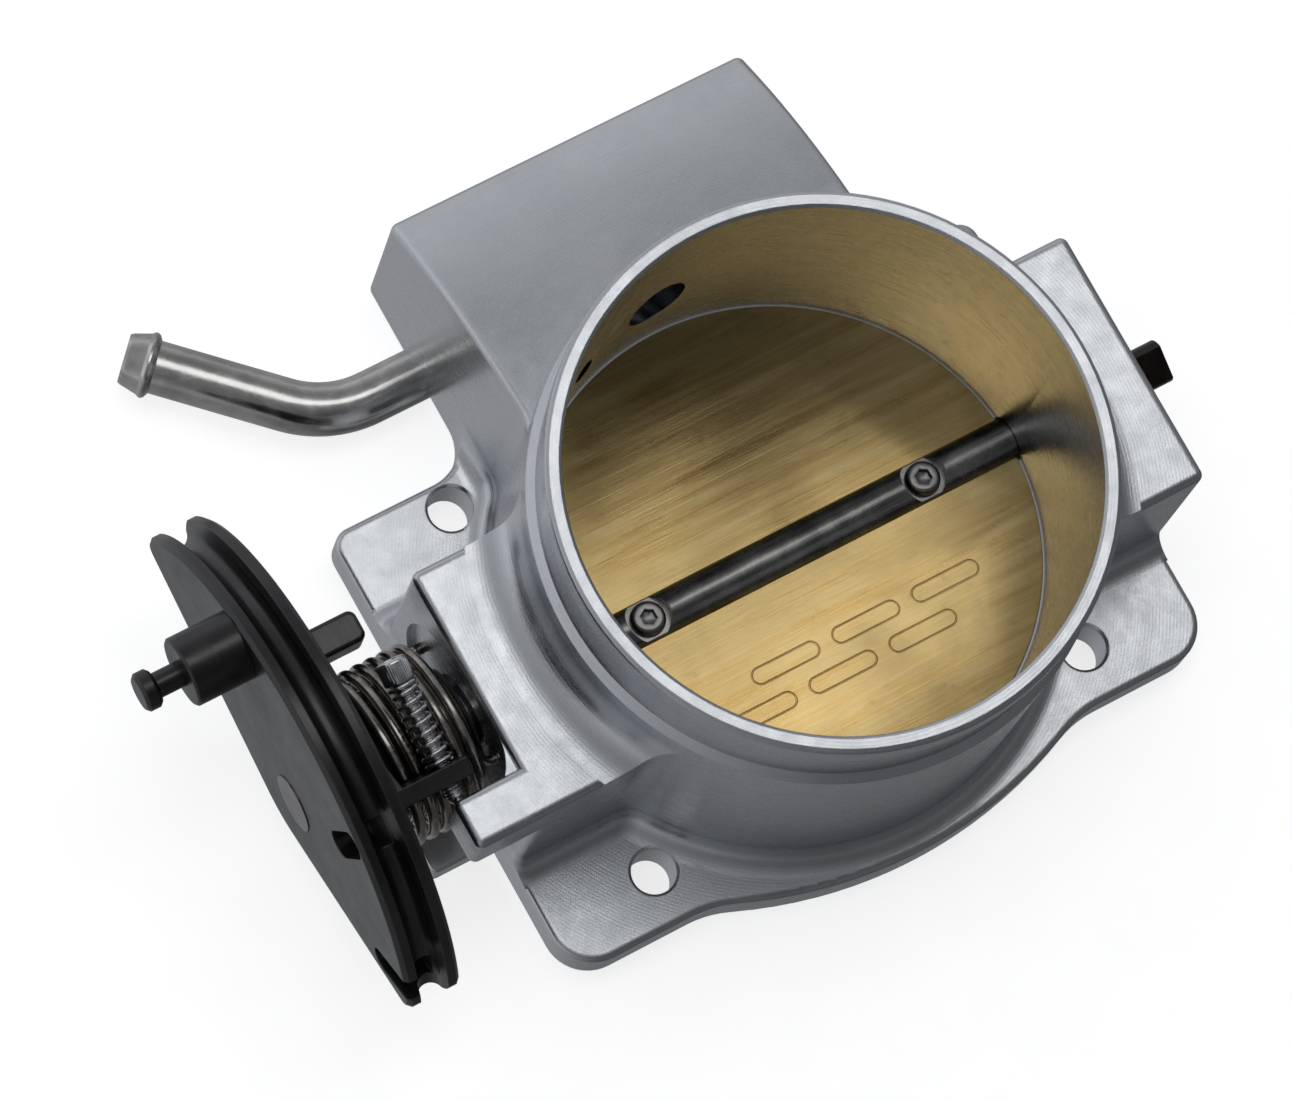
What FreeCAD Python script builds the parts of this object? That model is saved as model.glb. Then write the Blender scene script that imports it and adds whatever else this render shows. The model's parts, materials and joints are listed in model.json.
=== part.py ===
"""Cable-operated 90 mm throttle body, in millimetres.

Frame: the origin is the centre of the bore on the flange's mounting face. +Z runs up the bore towards the
air inlet. +X runs along the throttle shaft, from the cable wheel to the sensor end. +Y points at the
idle-air block.
"""

import FreeCAD
import Part
import math
import os

V = FreeCAD.Vector

# How far a cutter runs past the face it opens, and how far joined shapes run into each other.
PAST = 1.0

# ---- bore, tube and inlet collar ----
BORE_R = 45.3
BORE_TOP_R = 45.5
TAPER_START_Z = 34.0
RIM_Z = 77.0
MOUTH_R = 46.05
MOUTH_BEVEL = 0.4
COLLAR_R = 48.5
COLLAR_NECK_R = 47.9
COLLAR_STEP_Z = (70.8, 72.0)
RIM_EDGE = ((48.5, 76.2), (48.3, 76.7), (47.7, 77.0))
TUBE_R = 49.4
TUBE_TOP_Z = 59.7
SHOULDER_Z = 61.2

# ---- mounting flange ----
FLANGE_T = 9.25
FLANGE_HALF_X = 65.0
FLANGE_Y_MIN = -46.2
FLANGE_Y_MAX = 41.6
FLANGE_CORNER_R = 8.0
FLANGE_FAR_CORNER_R = 3.5
BULGE_R = 86.0
BULGE_Y_MIN = -54.6
BULGE_BLEND_R = 20.0
BOLT_X = 43.6
BOLT_Y = 36.33
BOLT_HOLE_R = 4.0
BOLT_CHAMFER = 0.5

# ---- throttle shaft ----
SHAFT_Z = 25.5
SHAFT_R = 4.0
SHAFT_END_X = 76.8
SHAFT_HEAD_R = 5.3
SHAFT_HEAD_T = 2.5
SHAFT_HEAD_PROUD = 0.2
KEY_FLATS = 6.4
D_END_START_X = 69.0
D_END_FLATS = 5.2
D_END_TURN_DEG = 22.0

# ---- blocks on the housing ----
LEVER_BLOCK_X = -64.4
LEVER_BLOCK_Y = (-24.7, 22.2)
LEVER_BLOCK_Z = 46.5
SENSOR_BLOCK_X = 66.0
SENSOR_BLOCK_Y = (-25.0, 23.9)
SENSOR_BLOCK_Z = 46.5
IDLE_BLOCK_HALF_X = 35.2
IDLE_BLOCK_Y = 80.2
IDLE_ARC_R = 105.0
IDLE_ARC_TOP_Z = 53.2
IDLE_ARC_Y = 21.0
COVE_R = 9.0
WALL_BLEND_R = 6.0
IDLE_BLEND_R = 8.0
FLANGE_COVE_R = 4.5
IDLE_CORNER_R = 9.0
BLOCK_EDGE_R = 1.5
BLOCK_SPLIT_Y = 28.3
FLANGE_EDGE_R = 1.2
FLANGE_FOOT_R = 2.0

# ---- arm and ledge that stop the lever ----
ARM_X = -77.0
ARM_Y = (-24.7, -15.5)
ARM_BOTTOM_Z = 35.4
ARM_FILLET_R = 10.8
ARM_FILLET_Y = -8.7
LEDGE_X = -77.0
LEDGE_Z = 5.5
LEDGE_Y_MIN = -18.7
LEDGE_EDGE_R = 0.8
STOP_ROOT = 8.0
STOP_GAP = 0.15
SPRING_POCKET_R = 18.0
SPRING_POCKET_DEPTH = 1.2
LEG_HOLE_GAP = 0.15
LEG_HOLE_DEPTH = 7.5

# ---- bearings and seals ----
BEARING_OUTER_R = 8.0
BEARING_W = 5.0
RACE_INNER_R = 5.6
RACE_OUTER_R = 6.5
BALL_R = 1.55
BALL_TRACK_R = 6.05
BALL_CLEARANCE = 0.05
BALL_COUNT = 9
SEAL_W = 3.0
SEAL_LIP_CLEARANCE = 0.05
SEAL_SHOULDER_R = 4.3
SEAL_LIP_HEIGHTS = (0.5, 0.9, 1.6)
LEVER_BEARING_X = -59.0
SENSOR_BEARING_X = 58.0
LEVER_SEAL_X = -54.6
SENSOR_SEAL_X = 53.6

# ---- throttle plate ----
PLATE_R = 45.0
PLATE_T = 2.0
PLATE_REST_DEG = -3.2
PLATE_SCREW_X = 27.5
PLATE_SLOT_CLEARANCE = 0.05
SCREW_HEAD_R = 3.15
SCREW_RECESS_R = 4.05
SCREW_SEAT = 1.9
SCREW_HEAD_H = 1.9
SCREW_THREAD_R = 1.9
SCREW_HEX = 2.5
SCREW_HEX_DEPTH = 1.4
SCREW_HEAD_SLOPE = 0.9

# ---- cable wheel ----
WHEEL_OUTER_X = -96.4
WHEEL_INNER_X = -86.4
WHEEL_ARC_R = 48.5
WHEEL_ARC_CENTRE = (5.5, 11.0)
WHEEL_TIP_A_Z = 22.5
WHEEL_TIP_B_Z = 24.9
WHEEL_APEX = (1.9, 10.0)
WHEEL_APEX_R = 15.0
WHEEL_TIP_R = 3.0
WHEEL_EDGE = 0.8
GROOVE_R = 2.1
GROOVE_DEPTH = 3.9
GROOVE_MOUTH = 3.0
GROOVE_X = -91.4
NIPPLE_R = 2.6
NIPPLE_DEPTH = 6.5
NIPPLE_SLOTS = (((-12.5, 42.0), (-15.2, 51.0)), ((-31.0, 26.4), (-38.0, 31.2)))

# ---- stud on the wheel ----
STUD_Y = 24.2
STUD_Z = 48.2
STUD_SPACER_R = 6.25
STUD_SPACER_END_X = -107.1
STUD_NECK_R = 2.25
STUD_HEAD_R = 3.5
STUD_HEAD_X = -115.0
STUD_HEAD_T = 3.0
STUD_HEAD_CHAMFER = 0.6
STUD_SPACER_CHAMFER = 0.4

# ---- stop lever ----
LEVER_T = 3.0
LEVER_HUB_R = 13.5
BAR_END_X = -71.2
BAR_T = 3.2
BAR_AT = 5.3
BAR_LOW = 2.6
BAR_HIGH = 4.0
LUG_END_X = -71.7
LUG_Y = (19.2, 25.0)
LUG_BELOW = 3.2
LUG_ABOVE = 2.6
LUG_EDGE_R = 0.8
LUG_END_R = 1.5
BAR_WEB_DEG = (80.0, 165.0)
LUG_WEB_DEG = 60.0
OPEN_DEG = 85.0

# ---- idle stop screw ----
IDLE_X = -75.0
IDLE_SLOPE_DEG = 14.4
IDLE_TIP_Z = 41.1
IDLE_THREAD_R = 1.75
IDLE_HEAD_R = 2.8
IDLE_HEAD_L = 4.2
IDLE_LENGTH = 22.5
IDLE_TIP_GAP = 0.1
IDLE_HEX = 2.5
IDLE_HEX_DEPTH = 2.2
IDLE_WIRE_R = 0.4
IDLE_COIL_R = 2.35
IDLE_TURNS = 8

# ---- return springs ----
OUTER_COIL_R = 15.2
OUTER_WIRE_R = 1.0
OUTER_TURNS = 6
OUTER_COIL_X = (-66.4, -81.6)
INNER_COIL_R = 11.4
INNER_WIRE_R = 0.8
INNER_TURNS = 7
INNER_COIL_X = (-66.2, -81.8)
INNER_ANGLE_DEG = 150.0
LEG_DEPTH = 6.0
LEG_ANGLE_DEG = -16.5
INNER_LEG_GAP = 0.2

# ---- sleeves and retaining parts ----
SPACER_R = 5.5
SLEEVE_R = 9.6
SLEEVE_X = (-64.7, -83.3)
WASHER_R = 5.5
WASHER_T = 0.6
CLIP_R = 6.0
CLIP_T = 0.9
CLIP_GROOVE_R = 3.4
CLIP_GAP_HALF = 2.6

# ---- air passages ----
TUBE_OD = 9.5
TUBE_WALL = 1.0
BARB_Y = 61.0
BARB_Z = 6.4
BARB_BEND_X = -54.0
BARB_BEND_R = 20.0
BARB_BEND_DEG = 43.8
BARB_SOCKET = 12.0
BARB_END_AT = 37.0
BARB_TIP_L = 5.6
BARB_PROFILE = ((4.75, 0.0), (5.6, 0.5), (5.9, 1.0), (5.9, 1.4), (5.5, 2.0), (4.65, 5.0), (4.35, 5.6))
IDLE_CHAMBER_Y = 63.0
IDLE_CHAMBER_Z = 26.0
IDLE_CHAMBER_R = 9.0
IDLE_CHAMBER_END_X = -13.0
IDLE_INLET_X = -3.3
IDLE_INLET_R = 5.7
IDLE_INLET_Z = 44.5
IDLE_OUTLET_R = 4.0
IDLE_OUTLET_START = (41.3, 6.0)
IDLE_OUTLET_END_Z = 24.0
BREATHER_X = -19.5
BREATHER_R = 2.4
BREATHER_START = (37.8, 47.0)
BREATHER_BORE_R = 3.4

# ---- tapped holes for the stranger's sensors ----
SENSOR_SCREW_R = 2.0
SENSOR_SCREW_Y = 16.0
SENSOR_SCREW_DEPTH = 10.0
VALVE_SCREW_SPACING = 26.0
VALVE_SCREW_DEPTH = 9.0


# ---------------------------------------------------------------- helpers

def line(a, b):
    """Straight edge between two points."""
    return Part.LineSegment(V(*a), V(*b)).toShape()


def prism(points, direction):
    """Solid from a closed outline of 3-D points, pushed along a vector."""
    corners = [V(*p) for p in points]
    face = Part.Face(Part.makePolygon(corners + [corners[0]]))
    return face.extrude(V(*direction))


def box(x, y, z):
    """Solid between the limits of three (low, high) pairs."""
    return Part.makeBox(x[1] - x[0], y[1] - y[0], z[1] - z[0], V(x[0], y[0], z[0]))


def rod(radius, x_from, x_to, y=0.0, z=SHAFT_Z):
    """Cylinder along X, about the shaft axis unless told otherwise."""
    low = min(x_from, x_to)
    high = max(x_from, x_to)
    return Part.makeCylinder(radius, high - low, V(low, y, z), V(1, 0, 0))


def ring(outer, inner, x_from, x_to):
    """Tube along X about the shaft axis."""
    return rod(outer, x_from, x_to).cut(rod(inner, x_from, x_to))


def revolve_z(points):
    """Solid of revolution about the bore axis from (radius, z) points."""
    outline = [V(r, 0, z) for r, z in points]
    face = Part.Face(Part.makePolygon(outline + [outline[0]]))
    return face.revolve(V(0, 0, 0), V(0, 0, 1), 360)


def revolve_shaft(points):
    """Solid of revolution about the shaft axis from (x, radius) points."""
    outline = [V(x, r, SHAFT_Z) for x, r in points]
    face = Part.Face(Part.makePolygon(outline + [outline[0]]))
    return face.revolve(V(0, 0, SHAFT_Z), V(1, 0, 0), 360)


def fuse_all(shapes):
    """One solid from overlapping shapes."""
    return shapes[0].multiFuse(shapes[1:]).removeSplitter()


def runs_along(edge, axis, place, reach=0.6):
    """True for a straight edge along an axis index at a place in the other two directions."""
    bounds = edge.BoundBox
    lengths = (bounds.XLength, bounds.YLength, bounds.ZLength)
    centre = (bounds.Center.x, bounds.Center.y, bounds.Center.z)
    others = [i for i in range(3) if i != axis]
    straight = all(lengths[i] < 0.01 for i in others) and lengths[axis] > 1.0
    return straight and all(abs(centre[i] - want) < reach for i, want in zip(others, place))


def fillet_along(shape, radius, axis, place):
    """Rounds the straight edges that run along an axis at a place."""
    return shape.makeFillet(radius, [e for e in shape.Edges if runs_along(e, axis, place)])


def about_shaft(shape, degrees):
    """The shape turned about the shaft axis."""
    result = shape.copy()
    result.rotate(V(0, 0, SHAFT_Z), V(1, 0, 0), degrees)
    return result


def on_circle(radius, degrees):
    """(y, z) of a point on a circle about the shaft axis."""
    angle = math.radians(degrees)
    return radius * math.cos(angle), SHAFT_Z + radius * math.sin(angle)


def aimed(shape, base, direction):
    """Moves a shape built up from the origin along Z to a base point and direction."""
    shape.Placement = FreeCAD.Placement(V(*base), FreeCAD.Rotation(V(0, 0, 1), V(*direction)))
    return shape


def hex_socket(across_flats, depth, base, direction):
    """Six-sided hole, pushed from a point along a direction."""
    corner = across_flats / math.sqrt(3)
    turns = [math.radians(60 * i) for i in range(6)]
    points = [(corner * math.cos(a), corner * math.sin(a), 0) for a in turns]
    return aimed(prism(points, (0, 0, depth)), base, direction)


# ---------------------------------------------------------------- housing

def round_top(shape, radius, z):
    """Rounds every edge that lies level at a height, except straight ones on the split plane."""
    edges = []
    for edge in shape.Edges:
        bounds = edge.BoundBox
        level = bounds.ZLength < 0.01 and abs(bounds.Center.z - z) < 0.01
        on_split = bounds.YLength < 0.01 and abs(bounds.Center.y - BLOCK_SPLIT_Y) < 0.01
        on_middle = bounds.XLength < 0.01 and abs(bounds.Center.x) < 0.01
        if level and not on_split and not on_middle:
            edges.append(edge)
    return shape.makeFillet(radius, edges)


def flange_plate():
    """Four-bolt flange with a bulge towards -Y, rounded corners and blends."""
    bulge_centre_y = BULGE_Y_MIN + BULGE_R
    half = math.sqrt(BULGE_R ** 2 - (bulge_centre_y - FLANGE_Y_MIN) ** 2)
    plate = box((-FLANGE_HALF_X, FLANGE_HALF_X), (FLANGE_Y_MIN, FLANGE_Y_MAX), (0, FLANGE_T))
    disc = Part.makeCylinder(BULGE_R, FLANGE_T, V(0, bulge_centre_y, 0))
    strip = box((-half, half), (BULGE_Y_MIN - PAST, 0), (0, FLANGE_T))
    footing = box((-IDLE_BLOCK_HALF_X, IDLE_BLOCK_HALF_X), (0, IDLE_BLOCK_Y), (0, FLANGE_T))
    plate = fuse_all([plate, disc.common(strip), footing])
    for side in (-1, 1):
        plate = fillet_along(plate, FLANGE_CORNER_R, 2, (side * FLANGE_HALF_X, FLANGE_Y_MIN))
        plate = fillet_along(plate, FLANGE_FAR_CORNER_R, 2, (side * FLANGE_HALF_X, FLANGE_Y_MAX))
        plate = fillet_along(plate, BULGE_BLEND_R, 2, (side * half, FLANGE_Y_MIN))
        plate = fillet_along(plate, IDLE_CORNER_R, 2, (side * IDLE_BLOCK_HALF_X, FLANGE_Y_MAX))
        plate = fillet_along(plate, BLOCK_EDGE_R, 2, (side * IDLE_BLOCK_HALF_X, IDLE_BLOCK_Y))
    return plate


def tube_x(y):
    """X on the tube's outer wall at a given Y."""
    return math.sqrt(TUBE_R ** 2 - y ** 2)


def plan_prism():
    """The tube and its three blocks as one tall upright prism, with its corners blended."""
    span = (0, TUBE_TOP_Z)
    tube = Part.makeCylinder(TUBE_R, TUBE_TOP_Z, V(0, 0, 0))
    lever = box((LEVER_BLOCK_X, 0), LEVER_BLOCK_Y, span)
    sensor = box((0, SENSOR_BLOCK_X), SENSOR_BLOCK_Y, span)
    idle = box((-IDLE_BLOCK_HALF_X, IDLE_BLOCK_HALF_X), (0, IDLE_BLOCK_Y), span)
    plan = fuse_all([tube, lever, sensor, idle])
    for y in LEVER_BLOCK_Y:
        plan = fillet_along(plan, WALL_BLEND_R, 2, (-tube_x(y), y))
    for y in SENSOR_BLOCK_Y:
        plan = fillet_along(plan, WALL_BLEND_R, 2, (tube_x(y), y))
    for side in (-1, 1):
        corner = (side * IDLE_BLOCK_HALF_X, tube_x(IDLE_BLOCK_HALF_X))
        plan = fillet_along(plan, IDLE_BLEND_R, 2, corner)
        plan = fillet_along(plan, BLOCK_EDGE_R, 2, (side * IDLE_BLOCK_HALF_X, IDLE_BLOCK_Y))
    for x, sides in ((LEVER_BLOCK_X, LEVER_BLOCK_Y), (SENSOR_BLOCK_X, SENSOR_BLOCK_Y)):
        for y in sides:
            plan = fillet_along(plan, BLOCK_EDGE_R, 2, (x, y))
    return plan


def flange_with_cove(plan, outline):
    """The flange, with a concave fillet where the upright walls leave it."""
    reach = 2 * FLANGE_HALF_X
    field = box((-reach, reach), (-reach, reach), (0, FLANGE_T))
    whole = fuse_all([field, plan])
    rims = []
    for edge in whole.Edges:
        bounds = edge.BoundBox
        level = bounds.ZLength < 0.01 and abs(bounds.Center.z - FLANGE_T) < 0.01
        inside = max(abs(bounds.Center.x), abs(bounds.Center.y)) < reach - PAST
        if level and inside:
            rims.append(edge)
    whole = whole.makeFillet(FLANGE_COVE_R, rims)
    tall = Part.Face(outline.OuterWire).extrude(V(0, 0, FLANGE_T + FLANGE_COVE_R + PAST))
    slab = Part.Face(outline.OuterWire).extrude(V(0, 0, FLANGE_T))
    rounded = round_top(round_top(slab, FLANGE_EDGE_R, FLANGE_T), FLANGE_FOOT_R, 0)
    return whole.common(tall).cut(slab.cut(rounded))


def bottom_face(plate):
    """The face that lies on the mounting plane."""
    return [f for f in plate.Faces if f.BoundBox.ZMax < 0.01][0]


def cove(base_z, radius):
    """Ring with a concave quarter-round that leads a flat top into the tube wall."""
    inner = TUBE_R - PAST
    outer = TUBE_R + radius
    top = base_z + radius
    low = base_z - BLOCK_EDGE_R
    mid = radius * math.sqrt(0.5)
    arc = Part.Arc(V(TUBE_R, 0, top), V(outer - mid, 0, top - mid), V(outer, 0, base_z)).toShape()
    edges = [arc, line((outer, 0, base_z), (outer, 0, low)), line((outer, 0, low), (inner, 0, low))]
    edges += [line((inner, 0, low), (inner, 0, top)), line((inner, 0, top), (TUBE_R, 0, top))]
    return Part.Face(Part.Wire(edges)).revolve(V(0, 0, 0), V(0, 0, 1), 360)


def tube_outside():
    """Outer wall of the tube with the inlet collar on top."""
    profile = [(1, 0), (TUBE_R, 0), (TUBE_R, TUBE_TOP_Z), (COLLAR_NECK_R, SHOULDER_Z)]
    profile += [(COLLAR_NECK_R, COLLAR_STEP_Z[0]), (COLLAR_R, COLLAR_STEP_Z[1])]
    return revolve_z(profile + list(RIM_EDGE) + [(1, RIM_Z)])


def idle_block(plan):
    """The idle-air block, with its arched top rounded into its sides."""
    far = 2 * FLANGE_HALF_X
    arch = rod(IDLE_ARC_R, -far, far, IDLE_ARC_Y, IDLE_ARC_TOP_Z - IDLE_ARC_R)
    zone = box((-far, far), (BLOCK_SPLIT_Y, far), (FLANGE_FOOT_R, IDLE_ARC_TOP_Z)).common(arch)
    block = plan.common(zone)
    edges = []
    for face in block.Faces:
        if abs(getattr(face.Surface, "Radius", 0) - IDLE_ARC_R) < 0.01:
            edges += [e for e in face.Edges if e.BoundBox.YMax > BLOCK_SPLIT_Y + PAST]
    return block.makeFillet(BLOCK_EDGE_R, edges)


def side_blocks(plan):
    """The sensor, lever and idle-air blocks, each cut to its own height."""
    far = 2 * FLANGE_HALF_X
    lever = plan.common(box((-far, 0), (-far, BLOCK_SPLIT_Y), (FLANGE_FOOT_R, LEVER_BLOCK_Z)))
    sensor = plan.common(box((0, far), (-far, BLOCK_SPLIT_Y), (FLANGE_FOOT_R, SENSOR_BLOCK_Z)))
    lever = round_top(lever, BLOCK_EDGE_R, LEVER_BLOCK_Z)
    sensor = round_top(sensor, BLOCK_EDGE_R, SENSOR_BLOCK_Z)
    lever_side = box((-far, 0), (-far, BLOCK_SPLIT_Y), (0, RIM_Z))
    sensor_side = box((0, far), (-far, BLOCK_SPLIT_Y), (0, RIM_Z))
    coves = [cove(LEVER_BLOCK_Z, COVE_R).common(lever_side), cove(SENSOR_BLOCK_Z, COVE_R).common(sensor_side)]
    return [lever, sensor, idle_block(plan)] + [plan.common(ring_part) for ring_part in coves]


def stop_face_y():
    """Y of the ledge's stop face, from where the lug's underside is when wide open."""
    turn = math.radians(OPEN_DEG)
    inner_y = LUG_Y[0] * math.cos(turn) - LUG_BELOW * math.sin(turn)
    return inner_y - STOP_GAP


def lever_stops():
    """The arm that the idle screw closes on, the fillet at its root, and the ledge that the lug opens on."""
    arm = box((ARM_X, LEVER_BLOCK_X + STOP_ROOT), ARM_Y, (ARM_BOTTOM_Z, LEVER_BLOCK_Z))
    for y in ARM_Y:
        arm = fillet_along(arm, BLOCK_EDGE_R, 2, (ARM_X, y))
    arm = round_top(arm, BLOCK_EDGE_R, LEVER_BLOCK_Z)
    height = (ARM_BOTTOM_Z, LEVER_BLOCK_Z - BLOCK_EDGE_R)
    root = box((LEVER_BLOCK_X - BLOCK_EDGE_R - PAST, LEVER_BLOCK_X), (ARM_Y[1], ARM_FILLET_Y), height)
    centre = V(LEVER_BLOCK_X - ARM_FILLET_R, ARM_FILLET_Y, 0)
    root = root.cut(Part.makeCylinder(ARM_FILLET_R, RIM_Z, centre))
    ledge = box((LEDGE_X, -FLANGE_HALF_X + STOP_ROOT), (LEDGE_Y_MIN, stop_face_y()), (0, LEDGE_Z))
    ledge = fillet_along(ledge, BLOCK_EDGE_R, 2, (LEDGE_X, LEDGE_Y_MIN))
    return [arm, root, round_top(ledge, LEDGE_EDGE_R, LEDGE_Z)]


def bore_cut():
    """The air bore: straight past the plate, then opening slightly to the inlet."""
    top = RIM_Z + PAST
    straight = [(0, -PAST), (BORE_R, -PAST), (BORE_R, TAPER_START_Z)]
    taper = [(BORE_TOP_R, RIM_Z - MOUTH_BEVEL), (MOUTH_R, RIM_Z), (MOUTH_R, top), (0, top)]
    return revolve_z(straight + taper)


def bolt_cuts():
    """Four clearance holes, broken at both edges."""
    cuts = []
    for x in (-BOLT_X, BOLT_X):
        for y in (-BOLT_Y, BOLT_Y):
            cuts.append(Part.makeCylinder(BOLT_HOLE_R, FLANGE_T + 2 * PAST, V(x, y, -PAST)))
            wide = BOLT_HOLE_R + BOLT_CHAMFER
            cuts.append(Part.makeCone(BOLT_HOLE_R, wide, BOLT_CHAMFER, V(x, y, FLANGE_T - BOLT_CHAMFER)))
    return cuts


def shaft_cuts():
    """Shaft hole, bearing pockets, spring pocket and the two spring leg holes."""
    lever_face = LEVER_BLOCK_X - PAST
    sensor_face = SENSOR_BLOCK_X + PAST
    cuts = [rod(SEAL_SHOULDER_R, lever_face, sensor_face)]
    cuts.append(rod(BEARING_OUTER_R, lever_face, LEVER_SEAL_X + SEAL_W / 2))
    cuts.append(rod(BEARING_OUTER_R, SENSOR_SEAL_X - SEAL_W / 2, sensor_face))
    cuts.append(rod(SPRING_POCKET_R, lever_face, LEVER_BLOCK_X + SPRING_POCKET_DEPTH))
    for coil_r, wire_r, start_x, angle in spring_feet():
        y, z = on_circle(coil_r, angle)
        cuts.append(rod(wire_r + LEG_HOLE_GAP, start_x, start_x + LEG_HOLE_DEPTH, y, z))
    return cuts


def spring_feet():
    """Coil radius, wire radius, first x and angle of each return spring's housing leg."""
    outer = (OUTER_COIL_R, OUTER_WIRE_R, OUTER_COIL_X[0], LEG_ANGLE_DEG)
    inner = (INNER_COIL_R, INNER_WIRE_R, INNER_COIL_X[0], INNER_ANGLE_DEG)
    return [outer, inner]


def passage(radius, start, end):
    """Drilled hole between two points."""
    run = V(*end) - V(*start)
    return Part.makeCylinder(radius, run.Length, V(*start), run)


def air_cuts():
    """Idle-air chamber with its inlet and outlet, and the breather drilling from the hose tube."""
    x_face = IDLE_BLOCK_HALF_X + PAST
    chamber = rod(IDLE_CHAMBER_R, IDLE_CHAMBER_END_X, x_face, IDLE_CHAMBER_Y, IDLE_CHAMBER_Z)
    drop = IDLE_INLET_Z - IDLE_CHAMBER_Z
    entry = (IDLE_INLET_X, BORE_R - drop / 2, IDLE_INLET_Z + drop / 2)
    inlet = passage(IDLE_INLET_R, entry, (IDLE_INLET_X, IDLE_CHAMBER_Y, IDLE_CHAMBER_Z))
    low = (IDLE_INLET_X,) + IDLE_OUTLET_START
    outlet = passage(IDLE_OUTLET_R, low, (IDLE_INLET_X, IDLE_CHAMBER_Y, IDLE_OUTLET_END_Z))
    barb_face = -IDLE_BLOCK_HALF_X
    socket = rod(TUBE_OD / 2, barb_face - PAST, barb_face + BARB_SOCKET, BARB_Y, BARB_Z)
    cross = rod(BREATHER_BORE_R, barb_face, BREATHER_X + BREATHER_R, BARB_Y, BARB_Z)
    breather = passage(BREATHER_R, (BREATHER_X,) + BREATHER_START, (BREATHER_X, BARB_Y, BARB_Z))
    return [chamber, inlet, outlet, socket, cross, breather]


def sensor_cuts():
    """Blind tapped holes for the position sensor and the idle valve, on the two +X faces."""
    cuts = []
    for y in (-SENSOR_SCREW_Y, SENSOR_SCREW_Y):
        start = SENSOR_BLOCK_X - SENSOR_SCREW_DEPTH
        cuts.append(rod(SENSOR_SCREW_R, start, SENSOR_BLOCK_X + PAST, y, SHAFT_Z))
    for side in (-0.5, 0.5):
        z = IDLE_CHAMBER_Z + side * VALVE_SCREW_SPACING
        start = IDLE_BLOCK_HALF_X - VALVE_SCREW_DEPTH
        cuts.append(rod(SENSOR_SCREW_R, start, IDLE_BLOCK_HALF_X + PAST, IDLE_CHAMBER_Y, z))
    return cuts


def housing():
    """The machined body, with every bore and hole cut."""
    plan = plan_prism()
    plate = flange_plate()
    pieces = [tube_outside(), flange_with_cove(plan, bottom_face(plate))]
    pieces += side_blocks(plan) + lever_stops()
    body = fuse_all(pieces)
    cuts = [bore_cut()] + bolt_cuts() + shaft_cuts() + air_cuts() + sensor_cuts()
    for cut in cuts:
        body = body.cut(cut)
    return body


# ---------------------------------------------------------------- shaft group

def throttle_shaft():
    """Round shaft with a wheel-side head, key flats, plate slot, screw seats and a flat-sided end."""
    head_x = WHEEL_OUTER_X - SHAFT_HEAD_PROUD
    neck_x = head_x + SHAFT_HEAD_T
    shaft = rod(SHAFT_R, neck_x, SHAFT_END_X).fuse(rod(SHAFT_HEAD_R, head_x, neck_x))
    lever_x = WHEEL_INNER_X + LEVER_T
    for side in (-1, 1):
        key = sorted((side * KEY_FLATS / 2, side * (SHAFT_R + PAST)))
        shaft = shaft.cut(box((neck_x, lever_x), key, (SHAFT_Z - SHAFT_R, SHAFT_Z + SHAFT_R)))
        flat = sorted((SHAFT_Z + side * D_END_FLATS / 2, SHAFT_Z + side * (SHAFT_R + PAST)))
        beside = box((D_END_START_X, SHAFT_END_X), (-SHAFT_R, SHAFT_R), flat)
        shaft = shaft.cut(about_shaft(beside, D_END_TURN_DEG))
    clip_x = clip_start_x()
    shaft = shaft.cut(ring(SHAFT_R + PAST, CLIP_GROOVE_R, clip_x, clip_x + CLIP_T))
    slot_half = PLATE_T / 2 + PLATE_SLOT_CLEARANCE
    slot_y = SHAFT_R + PAST
    slot = box((-BORE_R, BORE_R), (-slot_y, slot_y), (SHAFT_Z - slot_half, SHAFT_Z + slot_half))
    shaft = shaft.cut(about_shaft(slot, PLATE_REST_DEG))
    for x in (-PLATE_SCREW_X, PLATE_SCREW_X):
        seat = Part.makeCylinder(SCREW_RECESS_R, SHAFT_R, V(x, 0, SHAFT_Z + SCREW_SEAT))
        hole = Part.makeCylinder(SCREW_THREAD_R, 2 * SHAFT_R, V(x, 0, SHAFT_Z - SHAFT_R - PAST))
        shaft = shaft.cut(about_shaft(seat, PLATE_REST_DEG)).cut(about_shaft(hole, PLATE_REST_DEG))
    return shaft


def clip_start_x():
    """X where the retaining ring's groove starts, past the bearing and the washer."""
    return SENSOR_BEARING_X + BEARING_W / 2 + WASHER_T


def throttle_plate():
    """Round plate through the shaft's slot, with its two screw holes."""
    plate = Part.makeCylinder(PLATE_R, PLATE_T, V(0, 0, SHAFT_Z - PLATE_T / 2))
    for x in (-PLATE_SCREW_X, PLATE_SCREW_X):
        plate = plate.cut(Part.makeCylinder(SCREW_THREAD_R, 2 * PLATE_T, V(x, 0, SHAFT_Z - PLATE_T)))
    return about_shaft(plate, PLATE_REST_DEG)


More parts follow.
